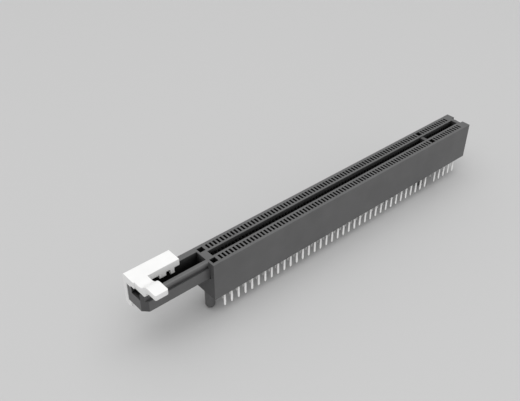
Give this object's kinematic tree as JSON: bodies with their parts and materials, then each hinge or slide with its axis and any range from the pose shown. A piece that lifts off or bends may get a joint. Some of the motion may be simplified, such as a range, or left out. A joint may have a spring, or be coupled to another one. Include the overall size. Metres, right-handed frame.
{
  "type": "card edge connector",
  "caption": "Through-hole card edge connector with a keyed slot, two facing rows of spring contacts, locating pegs and a retention arm carrying a white latch.",
  "frame": {"origin": "on the axis of the datum peg beside the key, in the plane of the circuit board that the feet rest on", "axes": "+X along the card slot towards its short section, +Z away from the board, -Y the flat front side"},
  "size_m": [0.1058, 0.0122, 0.0189],
  "materials": {
    "housing_plastic": "matt dark grey glass-filled moulding",
    "latch_plastic": "satin white moulding",
    "contact_metal": "bright tin plating on a stamped copper alloy strip"
  },
  "bodies": {
    "root": {"housing": "housing_plastic", "latch": "latch_plastic", "front_outer_contacts_1": "contact_metal", "front_outer_contacts_2": "contact_metal", "front_outer_contacts_3": "contact_metal", "front_outer_contacts_4": "contact_metal", "front_outer_contacts_5": "contact_metal", "front_inner_contacts_1": "contact_metal", "front_inner_contacts_2": "contact_metal", "front_inner_contacts_3": "contact_metal", "front_inner_contacts_4": "contact_metal", "front_inner_contacts_5": "contact_metal", "rear_outer_contacts_1": "contact_metal", "rear_outer_contacts_2": "contact_metal", "rear_outer_contacts_3": "contact_metal", "rear_outer_contacts_4": "contact_metal", "rear_outer_contacts_5": "contact_metal", "rear_inner_contacts_1": "contact_metal", "rear_inner_contacts_2": "contact_metal", "rear_inner_contacts_3": "contact_metal", "rear_inner_contacts_4": "contact_metal", "rear_inner_contacts_5": "contact_metal"}
  },
  "joints": []
}
